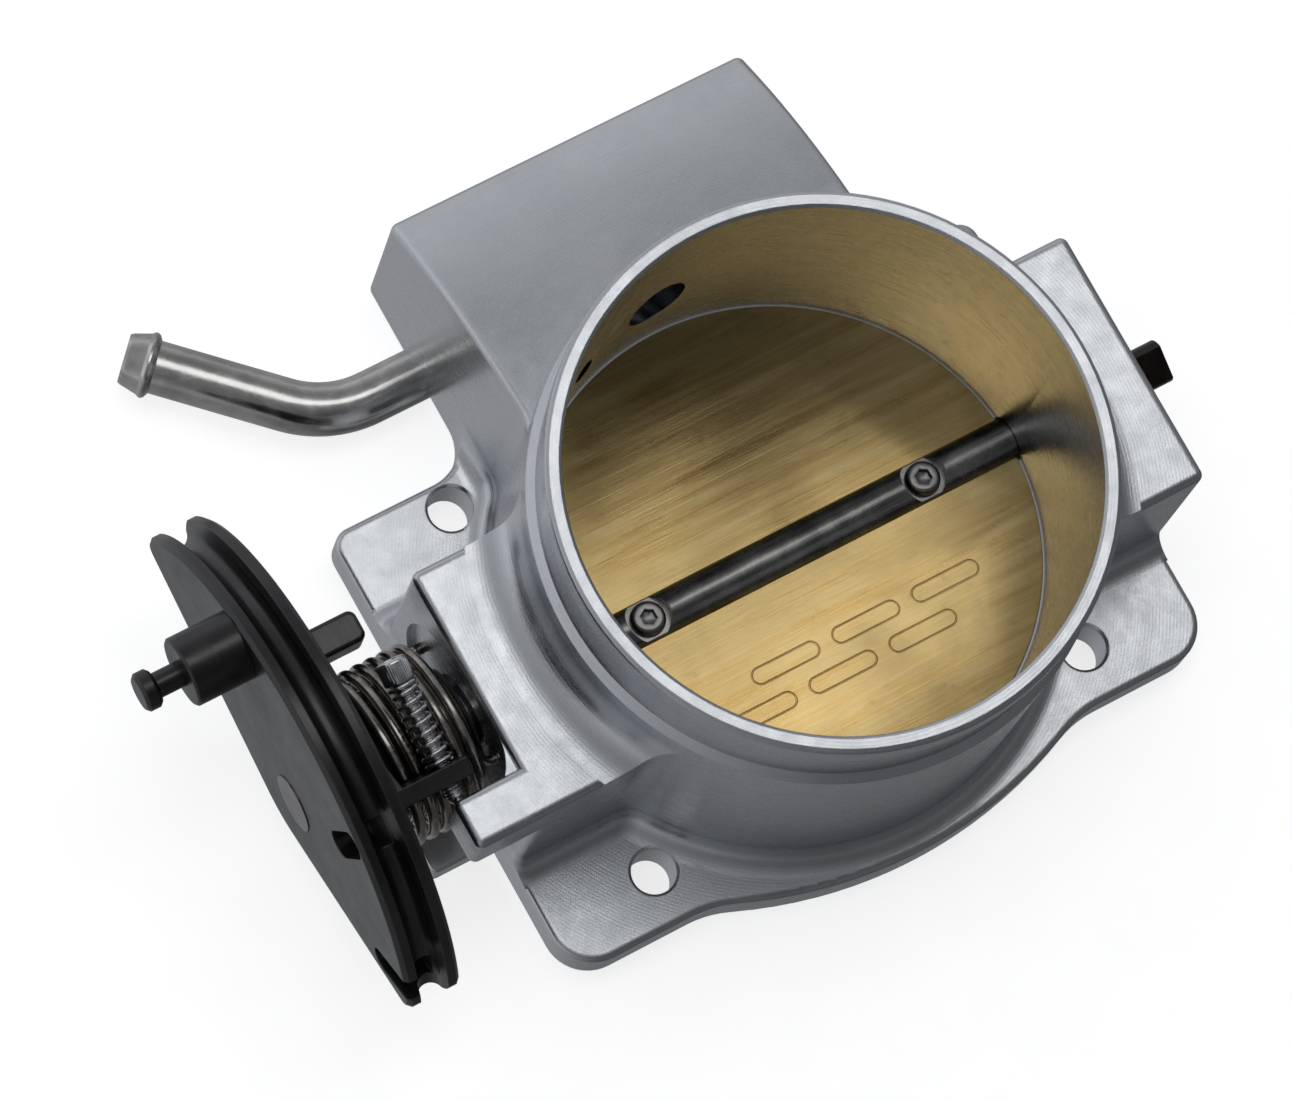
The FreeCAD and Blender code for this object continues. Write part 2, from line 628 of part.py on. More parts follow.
def throttle_plate_screws():
    """Two button-head screws, seated in the shaft's top half."""
    screws = []
    for x in (-PLATE_SCREW_X, PLATE_SCREW_X):
        seat_z = SHAFT_Z + SCREW_SEAT
        crown_r = SCREW_HEAD_R - SCREW_HEAD_SLOPE
        head = Part.makeCone(SCREW_HEAD_R, crown_r, SCREW_HEAD_H, V(x, 0, seat_z))
        shank = Part.makeCylinder(SCREW_THREAD_R, SCREW_SEAT + SHAFT_R, V(x, 0, SHAFT_Z - SHAFT_R))
        socket_z = seat_z + SCREW_HEAD_H
        screw = head.fuse(shank).cut(hex_socket(SCREW_HEX, SCREW_HEX_DEPTH, (x, 0, socket_z), (0, 0, -1)))
        screws.append(about_shaft(screw, PLATE_REST_DEG))
    return Part.makeCompound(screws)


# ---------------------------------------------------------------- bearings and seals

def outer_race(centre_x):
    """Bearing outer ring with a ball track."""
    half = BEARING_W / 2
    body = ring(BEARING_OUTER_R, RACE_OUTER_R, centre_x - half, centre_x + half)
    return body.cut(ball_track(centre_x))


def inner_race(centre_x):
    """Bearing inner ring with a ball track."""
    half = BEARING_W / 2
    body = ring(RACE_INNER_R, SHAFT_R, centre_x - half, centre_x + half)
    return body.cut(ball_track(centre_x))


def ball_track(centre_x):
    """Round groove that the balls run in."""
    return Part.makeTorus(BALL_TRACK_R, BALL_R + BALL_CLEARANCE, V(centre_x, 0, SHAFT_Z), V(1, 0, 0))


def bearing_balls(centre_x):
    """A ring of balls between the races."""
    balls = []
    for i in range(BALL_COUNT):
        y, z = on_circle(BALL_TRACK_R, 360.0 * i / BALL_COUNT)
        balls.append(Part.makeSphere(BALL_R, V(centre_x, y, z)))
    return Part.makeCompound(balls)


def shaft_seal(centre_x, lip_side):
    """Rubber ring in the housing whose lip just clears the shaft."""
    half = SEAL_W / 2
    lip_r = SHAFT_R + SEAL_LIP_CLEARANCE
    back = centre_x - lip_side * half
    front = centre_x + lip_side * half
    rise, step, web = [lip_r + height for height in SEAL_LIP_HEIGHTS]
    outline = [(back, BEARING_OUTER_R), (back, rise), (centre_x, lip_r), (centre_x, step)]
    outline += [(front, web), (front, BEARING_OUTER_R)]
    return revolve_shaft(outline)


def preload_washer():
    """Thin washer between the sensor-side inner race and the retaining ring."""
    start = SENSOR_BEARING_X + BEARING_W / 2
    return ring(WASHER_R, SHAFT_R, start, start + WASHER_T)


def shaft_retaining_ring():
    """Open ring that snaps into the shaft's groove."""
    start = clip_start_x()
    clip = ring(CLIP_R, CLIP_GROOVE_R, start, start + CLIP_T)
    gap_z = (SHAFT_Z - CLIP_R - PAST, SHAFT_Z)
    gap = box((start - PAST, start + CLIP_T + PAST), (-CLIP_GAP_HALF, CLIP_GAP_HALF), gap_z)
    return clip.cut(gap)


# ---------------------------------------------------------------- wheel side

def key_hole(x_from, x_to):
    """Double-D hole that fits the shaft's key flats."""
    half = KEY_FLATS / 2
    flats = box((x_from, x_to), (-half, half), (SHAFT_Z - SHAFT_R - PAST, SHAFT_Z + SHAFT_R + PAST))
    return rod(SHAFT_R, x_from, x_to).common(flats)


def wheel_outline():
    """Solid of the wheel's side view: a long arc, closed by two straight edges that meet below the shaft."""
    cy, cz = WHEEL_ARC_CENTRE
    x = WHEEL_OUTER_X
    reach_a = math.sqrt(WHEEL_ARC_R ** 2 - (WHEEL_TIP_A_Z - cz) ** 2)
    reach_b = math.sqrt(WHEEL_ARC_R ** 2 - (WHEEL_TIP_B_Z - cz) ** 2)
    tip_a = (x, cy + reach_a, WHEEL_TIP_A_Z)
    tip_b = (x, cy - reach_b, WHEEL_TIP_B_Z)
    apex = (x, WHEEL_APEX[0], WHEEL_APEX[1])
    arc = Part.Arc(V(*tip_a), V(x, cy, cz + WHEEL_ARC_R), V(*tip_b)).toShape()
    wire = Part.Wire([arc, line(tip_b, apex), line(apex, tip_a)])
    solid = Part.Face(wire).extrude(V(WHEEL_INNER_X - WHEEL_OUTER_X, 0, 0))
    solid = fillet_along(solid, WHEEL_APEX_R, 0, apex[1:])
    for tip in (tip_a, tip_b):
        solid = fillet_along(solid, WHEEL_TIP_R, 0, tip[1:])
    rims = [e for e in solid.Edges if e.BoundBox.XLength < 0.01]
    return solid.makeChamfer(WHEEL_EDGE, rims)


def cable_groove():
    """Round-bottomed groove with flared walls that follows the wheel's arc."""
    cy, cz = WHEEL_ARC_CENTRE
    floor_r = WHEEL_ARC_R - GROOVE_DEPTH + GROOVE_R
    mouth_r = WHEEL_ARC_R + PAST
    centre = V(GROOVE_X, cy, cz)
    axis = V(1, 0, 0)
    walls = [V(GROOVE_X - GROOVE_R, cy, cz + floor_r), V(GROOVE_X - GROOVE_MOUTH, cy, cz + mouth_r)]
    walls += [V(GROOVE_X + GROOVE_MOUTH, cy, cz + mouth_r), V(GROOVE_X + GROOVE_R, cy, cz + floor_r)]
    flare = Part.Face(Part.makePolygon(walls + [walls[0]])).revolve(centre, axis, 360)
    return Part.makeTorus(floor_r, GROOVE_R, centre, axis).fuse(flare)


def nipple_slot(start, end):
    """Round-ended slot for a cable end, from inside the face out to the groove."""
    x_from = WHEEL_OUTER_X - PAST
    x_to = WHEEL_OUTER_X + NIPPLE_DEPTH
    ends = [rod(NIPPLE_R, x_from, x_to, y, z) for y, z in (start, end)]
    run_y = end[0] - start[0]
    run_z = end[1] - start[1]
    length = math.hypot(run_y, run_z)
    side_y = -run_z / length * NIPPLE_R
    side_z = run_y / length * NIPPLE_R
    corners = [(x_from, start[0] + side_y, start[1] + side_z), (x_from, end[0] + side_y, end[1] + side_z)]
    corners += [(x_from, end[0] - side_y, end[1] - side_z), (x_from, start[0] - side_y, start[1] - side_z)]
    return fuse_all(ends + [prism(corners, (x_to - x_from, 0, 0))])


def cable_wheel():
    """Cam-shaped cable wheel with groove, cable-end slots, key hole and stud hole."""
    wheel = wheel_outline().cut(cable_groove())
    for start, end in NIPPLE_SLOTS:
        wheel = wheel.cut(nipple_slot(start, end))
    outside = WHEEL_OUTER_X - PAST
    inside = WHEEL_INNER_X + PAST
    head_end = WHEEL_OUTER_X - SHAFT_HEAD_PROUD + SHAFT_HEAD_T
    wheel = wheel.cut(rod(SHAFT_HEAD_R, outside, head_end))
    wheel = wheel.cut(key_hole(outside, inside))
    return wheel.cut(rod(STUD_NECK_R, outside, inside, STUD_Y, STUD_Z))


def stud_spacer():
    """Round boss that stands the lever stud off the wheel's outer face."""
    spacer = rod(STUD_SPACER_R, STUD_SPACER_END_X, WHEEL_OUTER_X, STUD_Y, STUD_Z)
    ends = [e for e in spacer.Edges if abs(e.BoundBox.Center.x - STUD_SPACER_END_X) < 0.01]
    spacer = spacer.makeChamfer(STUD_SPACER_CHAMFER, ends)
    return spacer.cut(rod(STUD_NECK_R, STUD_SPACER_END_X - PAST, WHEEL_OUTER_X + PAST, STUD_Y, STUD_Z))


def lever_stud():
    """Pin through the spacer and the wheel, with a button head for a linkage clip."""
    pin = rod(STUD_NECK_R, STUD_HEAD_X + PAST, WHEEL_INNER_X, STUD_Y, STUD_Z)
    head = rod(STUD_HEAD_R, STUD_HEAD_X, STUD_HEAD_X + STUD_HEAD_T, STUD_Y, STUD_Z)
    head = head.makeChamfer(STUD_HEAD_CHAMFER, [e for e in head.Edges if e.BoundBox.XLength < 0.01])
    return pin.fuse(head)


def idle_axis():
    """Unit (y, z) direction from the idle screw's tip to its head."""
    slope = math.radians(IDLE_SLOPE_DEG)
    return math.cos(slope), math.sin(slope)


def idle_point(distance):
    """Point on the idle screw's axis at a distance from its tip."""
    along = idle_axis()
    return (IDLE_X, ARM_Y[1] + IDLE_TIP_GAP + along[0] * distance, IDLE_TIP_Z + along[1] * distance)


def bar_corner(distance, height, x):
    """Point in the idle bar's own frame: distance along the screw, height across it."""
    along = idle_axis()
    base = idle_point(distance)
    return (x, base[1] - along[1] * height, base[2] + along[0] * height)


def stop_lever():
    """Plate behind the wheel with the idle screw's bar and the stop lug."""
    x_back = WHEEL_INNER_X
    x_front = WHEEL_INNER_X + LEVER_T
    near = BAR_AT - BAR_T / 2
    far = BAR_AT + BAR_T / 2
    bar_face = [bar_corner(near, -BAR_LOW, x_back), bar_corner(near, BAR_HIGH, x_back)]
    bar_face += [bar_corner(far, BAR_HIGH, x_back), bar_corner(far, -BAR_LOW, x_back)]
    bar = prism(bar_face, (BAR_END_X - x_back, 0, 0))
    top_y, top_z = on_circle(LEVER_HUB_R, BAR_WEB_DEG[0])
    side_y, side_z = on_circle(LEVER_HUB_R, BAR_WEB_DEG[1])
    web = [bar_face[0], bar_face[1], bar_face[2], (x_back, top_y, top_z), (x_back, side_y, side_z)]
    bar_web = prism(web, (LEVER_T, 0, 0))
    hub = rod(LEVER_HUB_R, x_back, x_front)
    lug_z = (SHAFT_Z - LUG_BELOW, SHAFT_Z + LUG_ABOVE)
    lug = box((x_back, LUG_END_X), LUG_Y, lug_z)
    for y in LUG_Y:
        lug = fillet_along(lug, LUG_END_R, 2, (LUG_END_X, y))
    lug = fillet_along(lug, LUG_EDGE_R, 0, (LUG_Y[0], lug_z[1]))
    hub_y, hub_z = on_circle(LEVER_HUB_R, LUG_WEB_DEG)
    web_y = LUG_Y[1] - PAST
    web_z = lug_z[1] - PAST
    lug_web = [(x_back, 0, lug_z[0]), (x_back, web_y, lug_z[0]), (x_back, web_y, web_z)]
    lug_web += [(x_back, hub_y, hub_z)]
    lug_arm = prism(lug_web, (LEVER_T, 0, 0))
    lever = fuse_all([hub, bar_web, bar, lug, lug_arm])
    lever = lever.cut(key_hole(x_back - PAST, x_front + PAST))
    thread = passage(IDLE_THREAD_R, idle_point(near - PAST), idle_point(far + PAST))
    leg_y, leg_z = on_circle(INNER_COIL_R, INNER_ANGLE_DEG)
    leg_hole = rod(INNER_WIRE_R + LEG_HOLE_GAP, x_back, x_front + PAST, leg_y, leg_z)
    return lever.cut(thread).cut(leg_hole)


def idle_stop_screw():
    """Socket-head screw whose domed tip closes on the housing's arm."""
    dome = Part.makeSphere(IDLE_THREAD_R, V(*idle_point(IDLE_THREAD_R)))
    shank = passage(IDLE_THREAD_R, idle_point(IDLE_THREAD_R), idle_point(IDLE_LENGTH + PAST))
    top = idle_point(IDLE_LENGTH + IDLE_HEAD_L)
    head = passage(IDLE_HEAD_R, idle_point(IDLE_LENGTH), top)
    along_y, along_z = idle_axis()
    socket = hex_socket(IDLE_HEX, IDLE_HEX_DEPTH, top, (0, -along_y, -along_z))
    return fuse_all([dome, shank, head]).cut(socket)


def coil(radius, wire_r, pitch, height):
    """Helical wire that starts on +X and climbs +Z."""
    helix = Part.makeHelix(pitch, height, radius)
    section = Part.Wire([Part.makeCircle(wire_r, V(radius, 0, 0), V(0, 1, 0))])
    return Part.Wire(helix.Edges).makePipeShell([section], True, True)


def idle_screw_spring():
    """Compression spring between the idle bar and the screw's head."""
    start = BAR_AT + BAR_T / 2 + IDLE_WIRE_R
    height = IDLE_LENGTH - IDLE_WIRE_R - start
    spring = coil(IDLE_COIL_R, IDLE_WIRE_R, height / IDLE_TURNS, height)
    return aimed(spring, idle_point(start), (0,) + idle_axis())


def torsion_coil(radius, wire_r, turns, x_limits, angle_deg):
    """Coil along -X about the shaft that starts at an angle, as seen from +X."""
    height = abs(x_limits[1] - x_limits[0])
    spring = coil(radius, wire_r, height / turns, height)
    angle = math.radians(angle_deg)
    first = V(0, math.cos(angle), math.sin(angle))
    along = V(-1, 0, 0)
    turn = FreeCAD.Rotation(first, along.cross(first), along, "ZXY")
    spring.Placement = FreeCAD.Placement(V(x_limits[0], 0, SHAFT_Z), turn)
    return spring


def return_spring_outer():
    """Outer torsion spring: one leg in the housing, one leg under the lever's lug."""
    spring = torsion_coil(OUTER_COIL_R, OUTER_WIRE_R, OUTER_TURNS, OUTER_COIL_X, LEG_ANGLE_DEG)
    y, z = on_circle(OUTER_COIL_R, LEG_ANGLE_DEG)
    start_x, end_x = OUTER_COIL_X
    foot = rod(OUTER_WIRE_R, start_x, start_x + LEG_DEPTH, y, z)
    leg = Part.makeCylinder(OUTER_WIRE_R, LUG_Y[1] - y, V(end_x, y, z), V(0, 1, 0))
    corners = [Part.makeSphere(OUTER_WIRE_R, V(x, y, z)) for x in (start_x, end_x)]
    return fuse_all([spring, foot, leg] + corners)


def return_spring_inner():
    """Inner torsion spring: one leg in the housing, one leg through the lever."""
    spring = torsion_coil(INNER_COIL_R, INNER_WIRE_R, INNER_TURNS, INNER_COIL_X, INNER_ANGLE_DEG)
    y, z = on_circle(INNER_COIL_R, INNER_ANGLE_DEG)
    start_x, end_x = INNER_COIL_X
    foot = rod(INNER_WIRE_R, start_x, start_x + LEG_DEPTH, y, z)
    leg = rod(INNER_WIRE_R, WHEEL_INNER_X + INNER_LEG_GAP, end_x, y, z)
    corners = [Part.makeSphere(INNER_WIRE_R, V(x, y, z)) for x in (start_x, end_x)]
    return fuse_all([spring, foot, leg] + corners)


def lever_spacer():
    """Sleeve that holds the lever off the bearing's inner race."""
    return ring(SPACER_R, SHAFT_R, WHEEL_INNER_X + LEVER_T, LEVER_BEARING_X - BEARING_W / 2)


def spring_sleeve():
    """Plastic sleeve round the lever spacer that the inner spring winds down on."""
    return ring(SLEEVE_R, SPACER_R, SLEEVE_X[0], SLEEVE_X[1])


# ---------------------------------------------------------------- hose tube

def barb_bend_start():
    """X where the hose tube's bend begins."""
    half_turn = math.radians(BARB_BEND_DEG / 2)
    return BARB_BEND_X + BARB_BEND_R * math.tan(half_turn)


def bent_rod(radius, start_x, end_at):
    """Rod that runs along -X, bends towards +Y and runs on to a distance from the bend's corner."""
    bend_x = barb_bend_start()
    turn = math.radians(BARB_BEND_DEG)
    tangent = BARB_BEND_X - bend_x
    first = rod(radius, start_x, bend_x, BARB_Y, BARB_Z)
    disc = Part.Face(Part.Wire([Part.makeCircle(radius, V(bend_x, BARB_Y, BARB_Z), V(1, 0, 0))]))
    bend = disc.revolve(V(bend_x, BARB_Y + BARB_BEND_R, BARB_Z), V(0, 0, 1), -BARB_BEND_DEG)
    exit_x = BARB_BEND_X + tangent * math.cos(turn)
    exit_y = BARB_Y - tangent * math.sin(turn)
    away = V(-math.cos(turn), math.sin(turn), 0)
    last = Part.makeCylinder(radius, end_at + tangent, V(exit_x, exit_y, BARB_Z), away)
    return fuse_all([first, bend, last])


def barb_point(distance):
    """Point on the tube's far leg at a distance from the bend's corner."""
    turn = math.radians(BARB_BEND_DEG)
    return BARB_BEND_X - distance * math.cos(turn), BARB_Y + distance * math.sin(turn), BARB_Z


def hose_barb_tube():
    """Bent tube pressed into the idle block, with a beaded and tapered end."""
    outer_r = TUBE_OD / 2
    socket_x = -IDLE_BLOCK_HALF_X + BARB_SOCKET
    outside = bent_rod(outer_r, socket_x, BARB_END_AT - BARB_TIP_L + PAST)
    profile = [(0, 0)] + list(BARB_PROFILE) + [(0, BARB_TIP_L)]
    turn = math.radians(BARB_BEND_DEG)
    away = (-math.cos(turn), math.sin(turn), 0)
    end = aimed(revolve_z(profile), barb_point(BARB_END_AT - BARB_TIP_L), away)
    inside = bent_rod(outer_r - TUBE_WALL, socket_x + PAST, BARB_END_AT + PAST)
    return fuse_all([outside, end]).cut(inside)


# ---------------------------------------------------------------- all nodes

def nodes():
    """Every sub-part by its node name."""
    return {
        "housing": housing(),
        "throttle_shaft": throttle_shaft(),
        "throttle_plate": throttle_plate(),
        "throttle_plate_screws": throttle_plate_screws(),
        "lever_bearing_outer_race": outer_race(LEVER_BEARING_X),
        "lever_bearing_inner_race": inner_race(LEVER_BEARING_X),
        "lever_bearing_balls": bearing_balls(LEVER_BEARING_X),
        "sensor_bearing_outer_race": outer_race(SENSOR_BEARING_X),
        "sensor_bearing_inner_race": inner_race(SENSOR_BEARING_X),
        "sensor_bearing_balls": bearing_balls(SENSOR_BEARING_X),
        "lever_shaft_seal": shaft_seal(LEVER_SEAL_X, 1),
        "sensor_shaft_seal": shaft_seal(SENSOR_SEAL_X, -1),
        "preload_washer": preload_washer(),
        "shaft_retaining_ring": shaft_retaining_ring(),
        "cable_wheel": cable_wheel(),
        "stop_lever": stop_lever(),
        "stud_spacer": stud_spacer(),
        "lever_stud": lever_stud(),
        "idle_stop_screw": idle_stop_screw(),
        "idle_screw_spring": idle_screw_spring(),
        "return_spring_outer": return_spring_outer(),
        "return_spring_inner": return_spring_inner(),
        "lever_spacer": lever_spacer(),
        "spring_sleeve": spring_sleeve(),
        "hose_barb_tube": hose_barb_tube(),
    }


def main():
    """Writes one STEP file per node."""
    os.makedirs("parts", exist_ok=True)
    for name, shape in nodes().items():
        state = "ok" if shape.isValid() else "INVALID"
        print(name, state, len(shape.Solids), "solids", round(shape.Volume, 1), "mm3")
        shape.exportStep("parts/" + name + ".step")


main()
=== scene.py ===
import json
import math

import bmesh
import bpy
from mathutils import Matrix, Vector


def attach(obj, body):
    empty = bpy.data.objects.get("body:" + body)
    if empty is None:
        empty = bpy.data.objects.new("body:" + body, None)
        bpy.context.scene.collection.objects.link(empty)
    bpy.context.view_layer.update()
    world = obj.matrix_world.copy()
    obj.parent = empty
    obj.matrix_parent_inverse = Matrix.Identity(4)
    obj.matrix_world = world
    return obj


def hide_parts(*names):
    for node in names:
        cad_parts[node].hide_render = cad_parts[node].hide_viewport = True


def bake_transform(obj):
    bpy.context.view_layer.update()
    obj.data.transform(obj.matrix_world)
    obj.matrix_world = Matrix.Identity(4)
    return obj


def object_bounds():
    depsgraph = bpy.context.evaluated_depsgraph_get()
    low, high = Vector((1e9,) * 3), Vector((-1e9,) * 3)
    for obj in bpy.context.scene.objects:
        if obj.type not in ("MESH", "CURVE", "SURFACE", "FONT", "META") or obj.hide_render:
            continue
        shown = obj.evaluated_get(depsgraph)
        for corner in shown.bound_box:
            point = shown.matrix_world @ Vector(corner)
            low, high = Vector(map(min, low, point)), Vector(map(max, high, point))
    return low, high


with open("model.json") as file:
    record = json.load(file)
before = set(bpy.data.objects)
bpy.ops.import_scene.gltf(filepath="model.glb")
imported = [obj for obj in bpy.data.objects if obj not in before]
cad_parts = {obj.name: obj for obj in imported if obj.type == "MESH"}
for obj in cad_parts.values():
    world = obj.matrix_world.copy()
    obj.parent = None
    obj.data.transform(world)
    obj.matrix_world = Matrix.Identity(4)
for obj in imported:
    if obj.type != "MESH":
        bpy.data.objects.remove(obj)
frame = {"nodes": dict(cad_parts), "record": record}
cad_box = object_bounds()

MM = 0.001
SHAFT = Vector((0.0, 0.0, 25.5)) * MM
TAU = 2 * math.pi


# ---------------------------------------------------------------- node helpers

class Look:
    """A node-based material with short calls for the nodes used here."""

    def __init__(self, name, **fixed):
        self.mat = bpy.data.materials.new(name)
        self.mat.use_nodes = True
        self.tree = self.mat.node_tree
        self.shader = self.tree.nodes["Principled BSDF"]
        for socket, value in fixed.items():
            self.shader.inputs[socket.replace("_", " ")].default_value = value
        self.coords = self.tree.nodes.new("ShaderNodeTexCoord")

    def node(self, kind, inputs=(), **settings):
        made = self.tree.nodes.new(kind)
        for key, value in settings.items():
            setattr(made, key, value)
        for key, value in dict(inputs).items():
            if isinstance(value, bpy.types.NodeSocket):
                self.tree.links.new(value, made.inputs[key])
            else:
                made.inputs[key].default_value = value
        return made

    def math(self, operation, a, b=0.0):
        return self.node("ShaderNodeMath", {0: a, 1: b}, operation=operation).outputs[0]

    def place(self, scale=(1, 1, 1), turn=(0, 0, 0)):
        """Object coordinates, turned and then stretched."""
        turned = self.node("ShaderNodeMapping", {"Vector": self.coords.outputs["Object"], "Rotation": turn})
        return self.node("ShaderNodeMapping", {"Vector": turned.outputs[0], "Scale": scale}).outputs[0]

    def noise(self, vector, scale=1.0, detail=3.0, rough=0.55, warp=0.0):
        made = self.node("ShaderNodeTexNoise", {"Vector": vector, "Scale": scale, "Detail": detail,
                                                "Roughness": rough, "Distortion": warp})
        return made.outputs["Fac"]

    def mix(self, factor, a, b, kind="MIX"):
        made = self.node("ShaderNodeMix", {"Factor": factor}, data_type="RGBA", blend_type=kind)
        for socket, value in ((made.inputs[6], a), (made.inputs[7], b)):
            if isinstance(value, bpy.types.NodeSocket):
                self.tree.links.new(value, socket)
            else:
                socket.default_value = (*value, 1)
        return made.outputs[2]

    def span(self, value, low, high, to_low=0.0, to_high=1.0):
        made = self.node("ShaderNodeMapRange", {"Value": value, "From Min": low, "From Max": high,
                                                "To Min": to_low, "To Max": to_high})
        return made.outputs[0]

    def split(self, vector):
        return self.node("ShaderNodeSeparateXYZ", {0: vector}).outputs

    def feed(self, socket, value):
        self.tree.links.new(value, self.shader.inputs[socket])

    def bumps(self, layers, edge=0.0):
        """Chains bump nodes from (height, metres, strength) layers, over edges softened by edge metres."""
        normal = None
        if edge:
            normal = self.node("ShaderNodeBevel", {"Radius": edge}, samples=6).outputs[0]
        for height, distance, strength in layers:
            inputs = {"Height": height, "Distance": distance, "Strength": strength}
            if normal is not None:
                inputs["Normal"] = normal
            normal = self.node("ShaderNodeBump", inputs).outputs[0]
        self.feed("Normal", normal)


# ---------------------------------------------------------------- materials

def machined_aluminium():
    """Milled top faces with fine grain, and side faces turned round the bore's axis; the side faces' base
    colour is painted darker than the tops as painted shade.
    """
    look = Look("machined_aluminium", Metallic=1.0)
    position = look.coords.outputs["Object"]
    x, y, z = look.split(position)
    up = look.span(look.split(look.coords.outputs["Normal"])[2], 0.75, 0.97)
    radius = look.math("SQRT", look.math("ADD", look.math("MULTIPLY", x, x), look.math("MULTIPLY", y, y)))
    grain = look.noise(position, scale=2600, detail=4, rough=0.7)
    fine = look.noise(position, scale=5200, detail=2)
    cloud = look.noise(position, scale=55, detail=3)
    blotch = look.noise(position, scale=240, detail=4, rough=0.65)
    turned = look.noise(look.place(scale=(45, 45, 5200)), detail=2)
    wobble = look.math("MULTIPLY", cloud, 0.0016)
    rings = look.math("SINE", look.math("MULTIPLY", look.math("ADD", radius, wobble), TAU / (0.62 * MM)))
    arcs = look.noise(look.node("ShaderNodeCombineXYZ", {0: look.math("MULTIPLY", radius, 4200), 1: look.math(
        "MULTIPLY", look.math("ARCTAN2", y, x), 9)}).outputs[0], detail=2)
    tint = look.mix(look.span(cloud, 0.35, 0.65), (0.70, 0.725, 0.755), (0.80, 0.82, 0.84))
    tint = look.mix(look.span(grain, 0.42, 0.66, 0.0, 0.5), tint, (0.93, 0.95, 0.98))
    # Side-face colour: turned streaks, plus a base colour painted darker than the tops as painted shade.
    turned_walls_painted_shade = look.mix(look.span(turned, 0.35, 0.7, 0.0, 0.35), (0.60, 0.615, 0.64), (0.74, 0.755, 0.775))
    look.feed("Base Color", look.mix(up, turned_walls_painted_shade, tint))
    uneven = look.math("ADD", look.math("MULTIPLY", blotch, 0.6), look.math("MULTIPLY", grain, 0.4))
    rough_top = look.span(uneven, 0.3, 0.7, 0.27, 0.43)
    streaked = look.math("ADD", look.math("MULTIPLY", turned, 0.5), look.math("MULTIPLY", blotch, 0.5))
    rough_wall = look.span(streaked, 0.3, 0.7, 0.19, 0.33)
    mixed = look.node("ShaderNodeMix", {"Factor": up, 2: rough_wall, 3: rough_top}, data_type="FLOAT")
    look.feed("Roughness", mixed.outputs[0])
    top_height = look.math("ADD", look.math("MULTIPLY", grain, 0.8), look.math("MULTIPLY", rings, 0.10))
    top_height = look.math("ADD", top_height, look.math("MULTIPLY", arcs, 0.45))
    wall_height = look.math("ADD", turned, look.math("MULTIPLY", fine, 0.25))
    height = look.node("ShaderNodeMix", {"Factor": up, 2: wall_height, 3: top_height}, data_type="FLOAT")
    look.bumps([(height.outputs[0], 0.00005, 0.6), (blotch, 0.00008, 0.14)], edge=0.00025)
    return look.mat


def brushed_brass():
    """Brass brushed along the shaft, with stains and darker spots."""
    look = Look("brushed_brass", Metallic=1.0, Anisotropic=0.45)
    position = look.coords.outputs["Object"]
    lines = look.noise(look.place(scale=(70, 3400, 3400)), detail=4, rough=0.7)
    broad = look.noise(look.place(scale=(28, 420, 420)), detail=4, rough=0.6)
    stain = look.noise(position, scale=38, detail=5, rough=0.6, warp=0.6)
    spots = look.noise(position, scale=300, detail=3)
    base = look.mix(look.span(broad, 0.34, 0.68), (0.56, 0.375, 0.135), (0.80, 0.60, 0.27))
    base = look.mix(look.span(stain, 0.46, 0.68, 0.0, 0.55), base, (0.44, 0.30, 0.12))
    base = look.mix(look.span(lines, 0.5, 0.75, 0.0, 0.45), base, (0.92, 0.74, 0.40))
    base = look.mix(look.span(spots, 0.62, 0.75, 0.0, 0.3), base, (0.34, 0.22, 0.09))
    look.feed("Base Color", base)
    dulled = look.math("ADD", broad, look.math("MULTIPLY", stain, 0.6))
    look.feed("Roughness", look.span(dulled, 0.55, 1.1, 0.24, 0.42))
    look.bumps([(lines, 0.00004, 0.55), (broad, 0.00006, 0.2)], edge=0.00015)
    return look.mat


def dark_steel(name, base, bright, rough, along):
    """Ground or oiled steel with fine lines in one direction; along is the texture's stretch."""
    look = Look(name, Metallic=1.0)
    lines = look.noise(look.place(scale=along), detail=3, rough=0.65)
    cloud = look.noise(look.coords.outputs["Object"], scale=160, detail=4, rough=0.6)
    colour = look.mix(look.span(cloud, 0.35, 0.7), base, bright)
    colour = look.mix(look.span(lines, 0.5, 0.75, 0.0, 0.4), colour, tuple(min(1, 1.35 * c) for c in bright))
    look.feed("Base Color", colour)
    look.feed("Roughness", look.span(look.math("ADD", lines, cloud), 0.7, 1.3, rough - 0.06, rough + 0.09))
    look.bumps([(lines, 0.00003, 0.4), (cloud, 0.00006, 0.15)], edge=0.0002)
    return look.mat


def ground_shaft():
    """Steel ground along its length, with a dark oxide finish on the end past the sensor block."""
    look = Look("ground_shaft", Metallic=1.0)
    position = look.coords.outputs["Object"]
    lines = look.noise(look.place(scale=(60, 3600, 3600)), detail=3, rough=0.65)
    cloud = look.noise(position, scale=160, detail=4, rough=0.6)
    colour = look.mix(look.span(cloud, 0.35, 0.7), (0.15, 0.145, 0.14), (0.36, 0.35, 0.335))
    colour = look.mix(look.span(lines, 0.5, 0.75, 0.0, 0.4), colour, (0.50, 0.48, 0.46))
    outside = look.span(look.split(position)[0], 0.0650, 0.0662)
    oxide = look.mix(look.span(cloud, 0.35, 0.7), (0.030, 0.026, 0.023), (0.075, 0.066, 0.058))
    look.feed("Base Color", look.mix(outside, colour, oxide))
    look.feed("Roughness", look.span(look.math("ADD", lines, cloud), 0.7, 1.3, 0.18, 0.33))
    look.bumps([(lines, 0.00003, 0.4), (cloud, 0.00006, 0.15)], edge=0.0002)
    return look.mat


